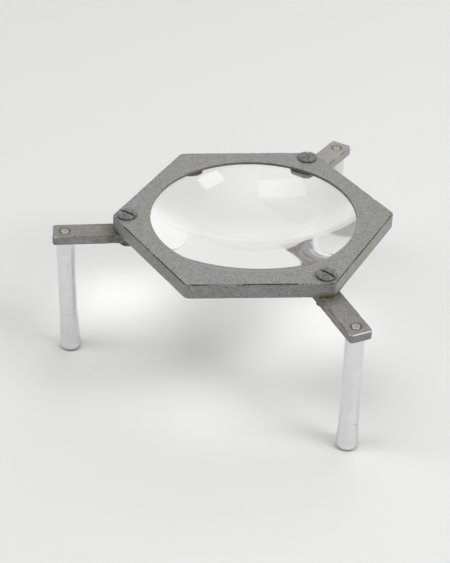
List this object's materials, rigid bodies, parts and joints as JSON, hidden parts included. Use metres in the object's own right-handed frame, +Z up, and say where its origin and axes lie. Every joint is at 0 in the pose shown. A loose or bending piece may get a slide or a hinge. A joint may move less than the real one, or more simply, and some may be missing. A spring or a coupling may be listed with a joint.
{
  "type": "desktop magnifier",
  "caption": "Desk magnifier: a large round lens in a hexagonal metal frame, standing on legs riveted into swinging arms.",
  "frame": {"origin": "on the desk, below the middle of the lens, in the plane of the feet", "axes": "+Z up, out through the lens's flat face; -X towards the left arm; -Y towards the reader"},
  "size_m": [0.1538, 0.1609, 0.0737],
  "materials": {
    "frame": "worn hammered grey paint",
    "arm": "worn satin grey",
    "leg": "satin",
    "screw": "darkened steel",
    "washer": "darkened steel",
    "nut": "darkened steel",
    "clip": "tarnished",
    "clip_screw": "tarnished",
    "lens": "polished"
  },
  "bodies": {
    "lens_frame": {"frame": "frame", "lens": "lens", "pivot_screw_left": "screw", "pivot_washer_left": "washer", "pivot_nut_left": "nut", "pivot_screw_front": "screw", "pivot_washer_front": "washer", "pivot_nut_front": "nut", "pivot_screw_back": "screw", "pivot_washer_back": "washer", "pivot_nut_back": "nut", "lens_clip_right": "clip", "lens_clip_back": "clip", "lens_clip_front": "clip", "clip_screw_right": "clip_screw", "clip_screw_back": "clip_screw", "clip_screw_front": "clip_screw"},
    "left_support": {"arm_left": "arm", "leg_left": "leg"},
    "front_support": {"arm_front": "arm", "leg_front": "leg"},
    "back_support": {"arm_back": "arm", "leg_back": "leg"}
  },
  "joints": [
    {"name": "left_arm_swing", "type": "hinge", "parent": "lens_frame", "child": "left_support", "pos_m": [-0.05686, 0, 0.0624], "axis": [0, 0, 1], "range_deg": [-100, 100]},
    {"name": "front_arm_swing", "type": "hinge", "parent": "lens_frame", "child": "front_support", "pos_m": [0.02843, -0.04924, 0.0624], "axis": [0, 0, 1], "range_deg": [-100, 100]},
    {"name": "back_arm_swing", "type": "hinge", "parent": "lens_frame", "child": "back_support", "pos_m": [0.02843, 0.04924, 0.0624], "axis": [0, 0, 1], "range_deg": [-100, 100]}
  ]
}
